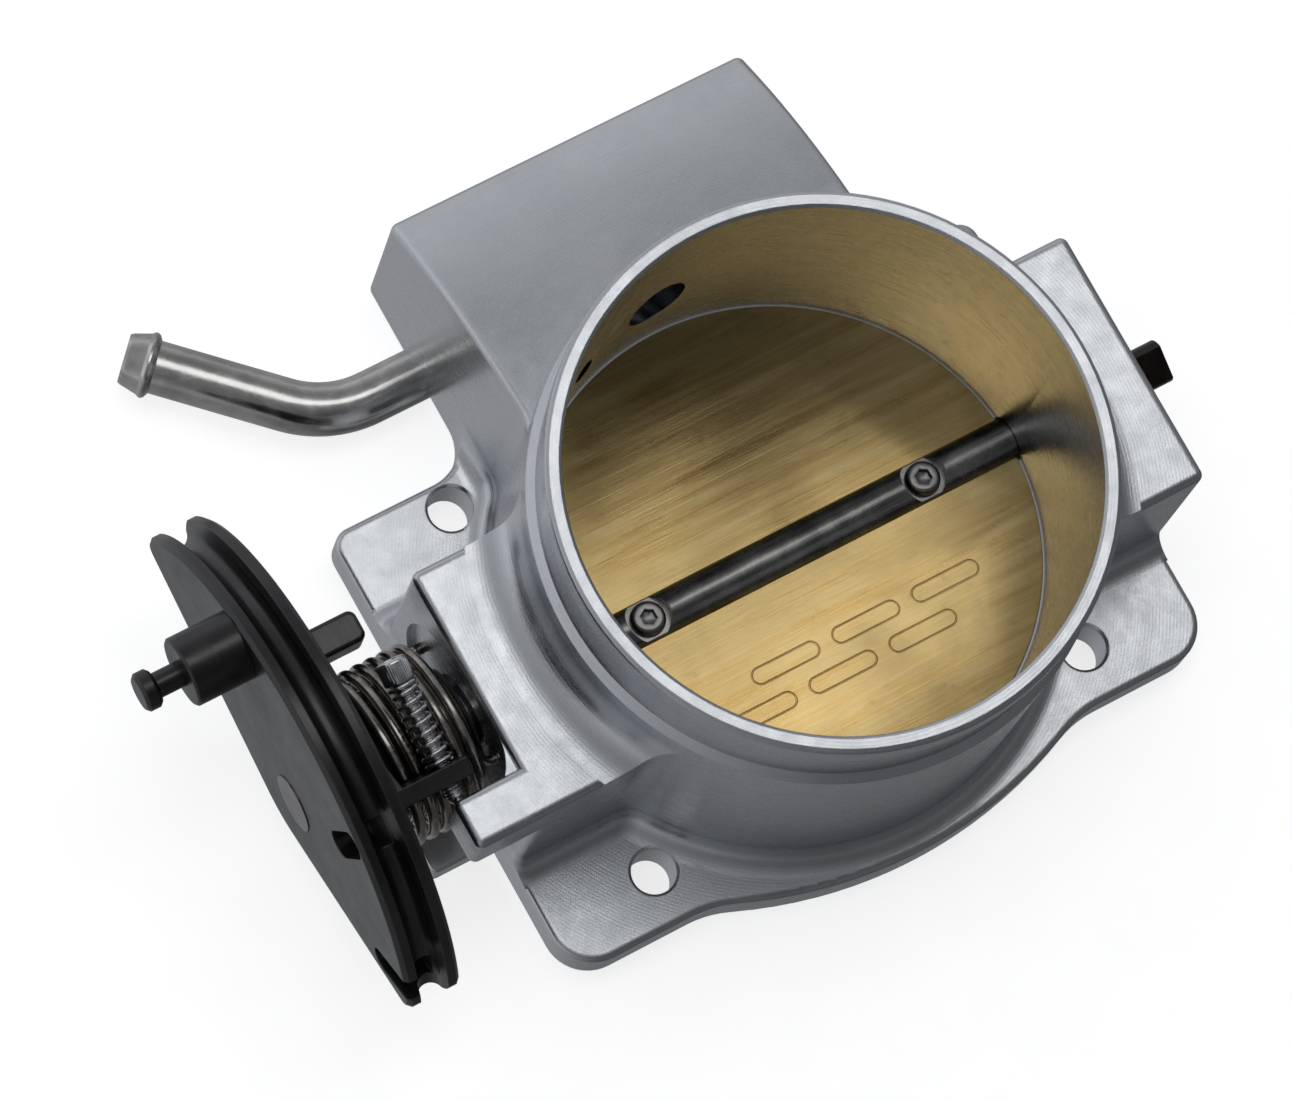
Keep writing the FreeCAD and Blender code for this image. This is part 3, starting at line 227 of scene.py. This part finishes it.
def black_finish():
    """Black coating with a faint orange peel, dust and rubbed patches."""
    look = Look("black_finish", Metallic=0.0, IOR=1.62, Specular_IOR_Level=0.55)
    position = look.coords.outputs["Object"]
    peel = look.noise(position, scale=850, detail=3)
    dust = look.noise(position, scale=4200, detail=2)
    scuff = look.noise(look.place(scale=(900, 60, 60)), detail=4, rough=0.65)
    wear = look.noise(position, scale=110, detail=5, rough=0.62)
    colour = look.mix(look.span(wear, 0.3, 0.7), (0.0042, 0.0043, 0.0048), (0.011, 0.011, 0.0115))
    colour = look.mix(look.span(dust, 0.66, 0.78, 0.0, 0.28), colour, (0.06, 0.06, 0.063))
    look.feed("Base Color", colour)
    rubbed = look.math("ADD", look.math("MULTIPLY", wear, 0.7), look.math("MULTIPLY", scuff, 0.4))
    look.feed("Roughness", look.span(rubbed, 0.3, 0.8, 0.2, 0.42))
    look.bumps([(peel, 0.00006, 0.16), (scuff, 0.00003, 0.2)], edge=0.0004)
    return look.mat


def seal_rubber():
    """Dark matt rubber."""
    look = Look("seal_rubber", Metallic=0.0)
    position = look.coords.outputs["Object"]
    mottle = look.noise(position, scale=900, detail=4)
    look.feed("Base Color", look.mix(mottle, (0.012, 0.012, 0.012), (0.035, 0.034, 0.033)))
    look.feed("Roughness", look.span(mottle, 0.3, 0.7, 0.5, 0.75))
    look.bumps([(mottle, 0.00005, 0.3)], edge=0.0002)
    return look.mat


def moulded_sleeve():
    """Dark moulded plastic with faint rings."""
    look = Look("moulded_sleeve", Metallic=0.0)
    position = look.coords.outputs["Object"]
    grain = look.noise(position, scale=1500, detail=3)
    rings = look.noise(look.place(scale=(2600, 40, 40)), detail=2)
    look.feed("Base Color", look.mix(grain, (0.018, 0.018, 0.019), (0.04, 0.04, 0.041)))
    look.feed("Roughness", look.span(grain, 0.3, 0.7, 0.42, 0.62))
    look.bumps([(rings, 0.00004, 0.3), (grain, 0.00004, 0.25)], edge=0.0002)
    return look.mat


LOOKS = {
    "housing_aluminium": machined_aluminium(),
    "plate_brass": brushed_brass(),
    "shaft_steel": ground_shaft(),
    "screw_steel": dark_steel("oiled_screw", (0.16, 0.155, 0.15), (0.34, 0.33, 0.32),
                              0.3, (900, 900, 900)),
    "polished_steel": dark_steel("polished_steel", (0.58, 0.58, 0.59), (0.80, 0.80, 0.81),
                                 0.13, (1800, 300, 300)),
    "bearing_steel": dark_steel("bearing_steel", (0.50, 0.50, 0.51), (0.72, 0.72, 0.73),
                                0.18, (3000, 60, 60)),
    "spring_steel": dark_steel("spring_wire", (0.22, 0.20, 0.18), (0.50, 0.47, 0.43),
                               0.17, (500, 1500, 1500)),
    "wheel_black": black_finish(),
    "seal_rubber": seal_rubber(),
    "sleeve_plastic": moulded_sleeve(),
    "tube_stainless": dark_steel("stainless_tube", (0.50, 0.49, 0.475), (0.72, 0.71, 0.69),
                                 0.2, (260, 260, 2600)),
}
SLOT_OF = {part["node"]: part["material_slot"] for part in frame["record"]["subparts"]}

for name, piece in frame["nodes"].items():
    piece.material_slots[0].material = LOOKS[SLOT_OF[name]]


# ---------------------------------------------------------------- mesh helpers

def finish_piece(name, mesh, slot, body=None, replaces=(), smooth_deg=35):
    """Object from a mesh, shaded and painted, riding on a body and standing for CAD nodes."""
    made = bpy.data.objects.new(name, mesh)
    bpy.context.scene.collection.objects.link(made)
    mesh.shade_smooth()
    mesh.set_sharp_from_angle(angle=math.radians(smooth_deg))
    mesh.materials.append(LOOKS[slot])
    if replaces:
        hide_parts(*replaces)
    if body:
        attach(made, body)
    return made


def frame_along(axis):
    """Two unit vectors across an axis."""
    axis = axis.normalized()
    side = axis.cross(Vector((0, 0, 1)) if abs(axis.z) < 0.9 else Vector((1, 0, 0))).normalized()
    return side, axis.cross(side).normalized()


def lathe(bm, loops, base, axis, segments=96):
    """Skin over loops of (radius, distance along the axis), capped at both ends.

    A radius is a length, or a function of the angle and the distance.
    """
    side, other = frame_along(axis)
    axis = axis.normalized()
    rows = []
    for radius, distance in loops:
        row = []
        for i in range(segments):
            angle = TAU * i / segments
            r = radius(angle, distance) if callable(radius) else radius
            around = side * math.cos(angle) + other * math.sin(angle)
            row.append(bm.verts.new(base + axis * distance + around * r))
        rows.append(row)
    for low, high in zip(rows, rows[1:]):
        for i in range(segments):
            j = (i + 1) % segments
            bm.faces.new((low[i], low[j], high[j], high[i]))
    bm.faces.new(list(reversed(rows[0])))
    bm.faces.new(rows[-1])


def hexagon(flats):
    """Radius function of a six-sided hole."""
    def radius(angle, distance):
        return flats / 2 / math.cos((angle % (TAU / 6)) - TAU / 12)
    return radius


def thread(outer, depth, pitch):
    """Radius function of a rolled thread; sizes in millimetres."""
    def radius(angle, distance):
        phase = (angle / TAU - distance / (pitch * MM)) % 1.0
        return (outer - depth * abs(2 * phase - 1)) * MM
    return radius


def to_mesh(name, bm):
    bmesh.ops.recalc_face_normals(bm, faces=bm.faces)
    mesh = bpy.data.meshes.new(name)
    bm.to_mesh(mesh)
    bm.free()
    return mesh


def smooth_path(points, radius, steps=8):
    """Polyline with its corners rounded."""
    out = [points[0]]
    for before, corner, after in zip(points, points[1:], points[2:]):
        a = (before - corner).normalized()
        b = (after - corner).normalized()
        reach = min(radius, (before - corner).length * 0.49, (after - corner).length * 0.49)
        p, q = corner + a * reach, corner + b * reach
        for i in range(steps + 1):
            t = i / steps
            out.append(p.lerp(corner, t).lerp(corner.lerp(q, t), t))
    out.append(points[-1])
    return out


def sweep(name, points, radius, sides=18):
    """Round wire along a path, with slightly rounded ends."""
    bm = bmesh.new()
    tangents = []
    for i in range(len(points)):
        tangents.append((points[min(i + 1, len(points) - 1)] - points[max(i - 1, 0)]).normalized())
    side, _ = frame_along(tangents[0])
    rows = []
    stations = [(0, 0.55), (0, 0.9)] + [(i, 1.0) for i in range(1, len(points) - 1)]
    stations += [(len(points) - 1, 0.9), (len(points) - 1, 0.55)]
    first, last = points[0], points[-1]
    for order, (i, share) in enumerate(stations):
        side = (side - tangents[i] * side.dot(tangents[i])).normalized()
        other = tangents[i].cross(side)
        centre = points[i]
        if order == 1:
            centre = first + tangents[0] * radius * 0.25
        if order == len(stations) - 2:
            centre = last - tangents[-1] * radius * 0.25
        ring = []
        for k in range(sides):
            angle = TAU * k / sides
            around = side * math.cos(angle) + other * math.sin(angle)
            ring.append(bm.verts.new(centre + around * radius * share))
        rows.append(ring)
    for low, high in zip(rows, rows[1:]):
        for k in range(sides):
            j = (k + 1) % sides
            bm.faces.new((low[k], low[j], high[j], high[k]))
    bm.faces.new(list(reversed(rows[0])))
    bm.faces.new(rows[-1])
    return to_mesh(name, bm)


# ---------------------------------------------------------------- throttle plate

PLATE_R = 45.0
PLATE_T = 2.0
PLATE_TILT = Matrix.Translation(SHAFT) @ Matrix.Rotation(math.radians(-3.2), 4, "X")
SCREW_X = (-27.5, 27.5)


def groove_cutter(outline, width, depth, top):
    """Closed trench-shaped solid that follows an outline in the plate's plane."""
    bm = bmesh.new()
    count = len(outline)
    rows = []
    for i, point in enumerate(outline):
        along = (outline[(i + 1) % count] - outline[i - 1]).normalized()
        across = Vector((-along.y, along.x)) * width / 2
        corners = [(point + across, top + 0.2), (point - across, top + 0.2)]
        corners += [(point - across * 0.35, top - depth), (point + across * 0.35, top - depth)]
        rows.append([bm.verts.new(Vector((p.x, p.y, z)) * MM) for p, z in corners])
    for low, high in zip(rows, rows[1:] + rows[:1]):
        for k in range(4):
            j = (k + 1) % 4
            bm.faces.new((low[k], low[j], high[j], high[k]))
    return to_mesh("groove", bm)


def capsule(centre, half_length, radius, turn_deg, steps=22):
    """Outline of a round-ended bar."""
    turn = math.radians(turn_deg)
    ahead = Vector((math.cos(turn), math.sin(turn)))
    across = Vector((-ahead.y, ahead.x))
    points = []
    for end, start in ((1, -90), (-1, 90)):
        for i in range(steps + 1):
            angle = math.radians(start + 180 * i / steps)
            local = ahead * (end * half_length + radius * math.cos(angle)) + across * radius * math.sin(angle)
            points.append(Vector(centre) + local)
    runs = []
    for a, b in zip(points, points[1:] + points[:1]):
        pieces = max(1, int((b - a).length / 2.0))
        runs += [a.lerp(b, i / pieces) for i in range(pieces)]
    return runs


def throttle_plate():
    """Brass disc with turned edges, screw holes and a plain engraved pattern of round-ended dashes."""
    bm = bmesh.new()
    half = PLATE_T / 2
    profile = [(PLATE_R - 0.35, -half), (PLATE_R - 0.08, -half + 0.1), (PLATE_R, -half + 0.35)]
    profile += [(PLATE_R, half - 0.35), (PLATE_R - 0.08, half - 0.1), (PLATE_R - 0.35, half)]
    loops = [(r * MM, h * MM) for r, h in profile]
    lathe(bm, loops, Vector((0, 0, 0)), Vector((0, 0, 1)), segments=256)
    plate = bpy.data.objects.new("plate_disc", to_mesh("plate_disc", bm))
    bpy.context.scene.collection.objects.link(plate)
    cutters = []
    for outline, width in engraving():
        cutters.append(groove_cutter(outline, width, 0.22, half))
    for x in SCREW_X:
        hole = bmesh.new()
        lathe(hole, [(1.95 * MM, -3 * MM), (1.95 * MM, 3 * MM)], Vector((x, 0, 0)) * MM, Vector((0, 0, 1)), 32)
        cutters.append(to_mesh("hole", hole))
    for mesh in cutters:
        tool = bpy.data.objects.new("tool", mesh)
        bpy.context.scene.collection.objects.link(tool)
        cut = plate.modifiers.new("cut", "BOOLEAN")
        cut.operation = "DIFFERENCE"
        cut.solver = "EXACT"
        cut.object = tool
        bpy.context.view_layer.update()
        depsgraph = bpy.context.evaluated_depsgraph_get()
        result = bpy.data.meshes.new_from_object(plate.evaluated_get(depsgraph))
        plate.modifiers.clear()
        plate.data = result
        bpy.data.objects.remove(tool)
    mesh = plate.data
    bpy.data.objects.remove(plate)
    mesh.transform(PLATE_TILT)
    mesh.materials.clear()
    return finish_piece("plate_disc_engraved", mesh, "plate_brass", "throttle", ["throttle_plate"], 30)


def engraving():
    """Outlines of a plain pattern: two staggered rows of equal round-ended dashes along the shaft."""
    shapes = []
    for y, first in ((-17.5, -10.0), (-23.5, -18.0)):
        for step in range(3):
            shapes.append((capsule((first + 16.0 * step, y), 5.0, 1.5, 0), 0.45))
    return shapes


def button_screw(x, order):
    """Button-head screw with a hex socket and a threaded shank, along the plate's own axis."""
    bm = bmesh.new()
    up = (PLATE_TILT.to_3x3() @ Vector((0, 0, 1))).normalized()
    base = PLATE_TILT @ Vector((x * MM, 0, 0))
    seat, head = 1.9, 1.9
    ridges = thread(1.86, 0.30, 0.7)

    loops = [(0.9 * MM, -3.95 * MM), (1.5 * MM, -3.9 * MM)]
    loops += [(ridges, (-3.6 + 0.14 * i) * MM) for i in range(38)]
    loops += [(1.6 * MM, (seat - 0.05) * MM), (3.05 * MM, seat * MM), (3.15 * MM, (seat + 0.12) * MM)]
    for i in range(9):
        t = i / 8
        dome = seat + 0.25 + (head - 0.27) * math.sin(t * TAU / 4)
        loops.append(((3.15 - 0.95 * t ** 1.9) * MM, dome * MM))
    loops += [(1.62 * MM, (seat + head) * MM), (hexagon(2.55 * MM), (seat + head - 0.06) * MM)]
    loops += [(hexagon(2.5 * MM), (seat + head - 0.14) * MM), (hexagon(2.5 * MM), (seat + head - 1.3) * MM)]
    loops += [(0.5 * MM, (seat + head - 1.6) * MM)]
    lathe(bm, loops, base, up, segments=72)
    name = "plate_screw_" + order
    return finish_piece(name, to_mesh(name, bm), "screw_steel", "throttle")


# ---------------------------------------------------------------- idle stop screw and spring

IDLE_SLOPE = math.radians(14.4)
IDLE_AXIS = Vector((0, math.cos(IDLE_SLOPE), math.sin(IDLE_SLOPE)))
IDLE_TIP = Vector((-75.0, -15.4, 41.1)) * MM


def idle_screw():
    """Socket-head screw with a rolled thread, a domed tip and a knurled head."""
    bm = bmesh.new()

    def knurl(angle, distance):
        return (2.79 - 0.11 * (0.5 + 0.5 * math.cos(36 * angle)) ** 2) * MM

    ridges = thread(1.73, 0.28, 0.6)
    loops = [(0.25 * MM, 0.02 * MM), (0.85 * MM, 0.28 * MM), (1.25 * MM, 0.66 * MM), (1.42 * MM, 1.1 * MM)]
    loops += [(ridges, (1.4 + 0.12 * i) * MM) for i in range(174)]
    loops += [(1.6 * MM, 22.35 * MM), (2.3 * MM, 22.5 * MM), (2.62 * MM, 22.56 * MM), (2.72 * MM, 22.75 * MM)]
    loops += [(knurl, 22.95 * MM), (knurl, 24.6 * MM), (knurl, 26.0 * MM), (2.72 * MM, 26.25 * MM)]
    loops += [(2.55 * MM, 26.5 * MM), (2.25 * MM, 26.66 * MM), (1.75 * MM, 26.7 * MM), (1.62 * MM, 26.7 * MM)]
    loops += [(hexagon(2.56 * MM), 26.62 * MM), (hexagon(2.5 * MM), 26.5 * MM)]
    loops += [(hexagon(2.5 * MM), 24.6 * MM), (0.5 * MM, 24.3 * MM)]
    lathe(bm, loops, IDLE_TIP, IDLE_AXIS, segments=108)
    return finish_piece("idle_screw", to_mesh("idle_screw", bm), "polished_steel", "throttle",
                        ["idle_stop_screw"], 42)


IDLE_COIL_R = 2.35
IDLE_WIRE_R = 0.39
IDLE_COIL_ENDS = (7.3, 22.1)
IDLE_TURNS = 9.0
CLOSED_SHARE = 0.11
CLOSED_PITCH = 0.8
STEPS_PER_TURN = 30


def idle_spring():
    """Compression spring with closed end turns, round the idle screw."""
    side, other = frame_along(IDLE_AXIS)
    start, end = IDLE_COIL_ENDS
    closed = IDLE_TURNS * CLOSED_SHARE
    free = (end - start) - 2 * closed * CLOSED_PITCH
    points = []
    for i in range(int(IDLE_TURNS * STEPS_PER_TURN) + 1):
        t = i / (IDLE_TURNS * STEPS_PER_TURN)
        turn = t * IDLE_TURNS
        share = min(1, max(0, (t - CLOSED_SHARE) / (1 - 2 * CLOSED_SHARE)))
        low = min(turn, closed) * CLOSED_PITCH
        high = max(0, turn - IDLE_TURNS * (1 - CLOSED_SHARE)) * CLOSED_PITCH
        along = IDLE_AXIS * (start + low + free * share + high) * MM
        angle = TAU * turn
        around = side * math.cos(angle) + other * math.sin(angle)
        points.append(IDLE_TIP + along + around * IDLE_COIL_R * MM)
    mesh = sweep("idle_spring", points, IDLE_WIRE_R * MM, 16)
    return finish_piece("idle_spring_coil", mesh, "polished_steel", "throttle", ["idle_screw_spring"], 60)


# ---------------------------------------------------------------- return springs

def return_spring(name, node, coil_r, wire_r, turns, x_from, x_to, angle_deg, foot, lead):
    """Torsion spring: a foot into the housing, an evenly wound coil and a leg to the lever."""
    angle = math.radians(angle_deg)
    first = Vector((0, math.cos(angle), math.sin(angle)))
    second = Vector((-1, 0, 0)).cross(first)
    coil = []
    steps = int(turns * 72)
    for i in range(steps + 1):
        t = i / steps
        around = first * math.cos(TAU * turns * t) + second * math.sin(TAU * turns * t)
        coil.append(SHAFT + Vector((x_from + (x_to - x_from) * t, 0, 0)) * MM + around * coil_r * MM)
    skip = 9
    foot_end = coil[0] + Vector((foot, 0, 0)) * MM
    foot_bend = coil[0] + Vector((0.2, 0, 0)) * MM
    entry = smooth_path([foot_end, foot_bend, coil[skip]], 0.0025)
    leave = smooth_path([coil[-skip - 1], coil[-1], coil[-1] + lead * MM], 0.0025)
    path = entry[:-1] + coil[skip:-skip] + leave[1:]
    spring = finish_piece(name, sweep(name, path, wire_r * MM), "spring_steel", None, [node], 60)
    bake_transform(spring)
    return spring


OUTER_SPRING = {"coil_r": 15.2, "wire_r": 1.0, "turns": 6, "x_from": -66.4, "x_to": -81.6,
                "angle_deg": -16.5, "foot": 5.8, "lead": Vector((0, 10.2, 0))}
INNER_SPRING = {"coil_r": 11.4, "wire_r": 0.8, "turns": 7, "x_from": -66.2, "x_to": -81.8,
                "angle_deg": 150.0, "foot": 5.8, "lead": Vector((-4.3, 0, 0))}


# ---------------------------------------------------------------- build the pieces

throttle_plate()
left_screw = button_screw(SCREW_X[0], "left")
button_screw(SCREW_X[1], "right")
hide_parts("throttle_plate_screws")
idle_screw()
idle_spring()
return_spring("outer_spring_wire", "return_spring_outer", **OUTER_SPRING)
return_spring("inner_spring_wire", "return_spring_inner", **INNER_SPRING)


# ---------------------------------------------------------------- floor, light and camera

def sweep_floor():
    """Pale seamless floor under the object, curving up far behind it."""
    bm = bmesh.new()
    low = cad_box[0].z - 0.0002
    rows = []
    for i in range(41):
        reach = -3.0 + 6.0 * i / 40
        lift = max(0.0, abs(reach) - 2.2) ** 2 * 0.6
        rows.append([bm.verts.new((reach, -3.0 + 6.0 * j / 40, low + lift)) for j in range(41)])
    for a, b in zip(rows, rows[1:]):
        for j in range(40):
            bm.faces.new((a[j], b[j], b[j + 1], a[j + 1]))
    mesh = to_mesh("floor", bm)
    floor = bpy.data.objects.new("floor", mesh)
    bpy.context.scene.collection.objects.link(floor)
    look = Look("floor_paper", Roughness=0.9)
    fibre = look.noise(look.coords.outputs["Object"], scale=90, detail=3)
    paper = look.mix(fibre, (0.90, 0.90, 0.90), (0.93, 0.93, 0.93))
    look.feed("Base Color", paper)
    look.feed("Emission Color", paper)
    look.shader.inputs["Emission Strength"].default_value = 0.8
    mesh.materials.append(look.mat)
    floor.visible_glossy = False


def studio_world():
    """Soft grey surroundings, brighter low down behind the object's left and darker in front."""
    world = bpy.data.worlds.new("studio")
    bpy.context.scene.world = world
    world.use_nodes = True
    tree = world.node_tree
    background = tree.nodes["Background"]
    coords = tree.nodes.new("ShaderNodeTexCoord")
    split = tree.nodes.new("ShaderNodeSeparateXYZ")
    tree.links.new(coords.outputs["Generated"], split.inputs[0])
    heights = tree.nodes.new("ShaderNodeValToRGB")
    stops = [(0.0, 0.30), (0.25, 0.28), (0.45, 0.26), (0.575, 0.42), (0.72, 0.26), (0.85, 0.19), (1.0, 0.24)]
    while len(heights.color_ramp.elements) < len(stops):
        heights.color_ramp.elements.new(0.5)
    for element, (at, value) in zip(heights.color_ramp.elements, stops):
        element.position = at
        element.color = (value * 0.97, value * 0.99, value * 1.03, 1)
    level = tree.nodes.new("ShaderNodeMapRange")
    level.inputs["From Min"].default_value = -1
    tree.links.new(split.outputs["Z"], level.inputs["Value"])
    tree.links.new(level.outputs[0], heights.inputs["Fac"])
    lean = tree.nodes.new("ShaderNodeVectorMath")
    lean.operation = "DOT_PRODUCT"
    tree.links.new(coords.outputs["Generated"], lean.inputs[0])
    lean.inputs[1].default_value = (-0.6, 0.8, 0.0)
    side = tree.nodes.new("ShaderNodeMapRange")
    for socket, value in (("From Min", -0.6), ("From Max", 1.0), ("To Min", 0.35), ("To Max", 1.9)):
        side.inputs[socket].default_value = value
    tree.links.new(lean.outputs["Value"], side.inputs["Value"])
    tree.links.new(heights.outputs["Color"], background.inputs["Color"])
    tree.links.new(side.outputs[0], background.inputs["Strength"])


def soft_box(name, place, target, width, height, power):
    """Rectangular area light that faces a point."""
    data = bpy.data.lights.new(name, "AREA")
    data.shape = "RECTANGLE"
    data.size = width
    data.size_y = height
    data.energy = power
    light = bpy.data.objects.new(name, data)
    light.location = place
    light.rotation_mode = "QUATERNION"
    light.rotation_quaternion = (Vector(target) - Vector(place)).to_track_quat("-Z", "Y")
    bpy.context.scene.collection.objects.link(light)


def studio_camera():
    """Long-lens camera above the lever side, looking steeply down on the inlet."""
    data = bpy.data.cameras.new("camera")
    data.sensor_width = 36.0
    data.lens = 198.3
    data.clip_start = 0.05
    data.clip_end = 20.0
    data.dof.use_dof = False
    camera = bpy.data.objects.new("camera", data)
    right = Vector((0.86213, -0.48530, 0.14570))
    up = Vector((0.43708, 0.85773, 0.27068))
    back = Vector((-0.25633, -0.16968, 0.95158))
    turn = Matrix((right, up, back)).transposed().to_4x4()
    camera.matrix_world = Matrix.Translation((-0.33394, -0.19573, 1.18650)) @ turn
    bpy.context.scene.collection.objects.link(camera)
    bpy.context.scene.camera = camera


sweep_floor()
studio_world()
soft_box("key", (0.15, 0.20, 1.13), (0.15, 0.20, 0.0), 1.1, 0.38, 1.75)
studio_camera()
bpy.context.scene.view_settings.view_transform = "Standard"
bpy.context.scene.view_settings.look = "None"
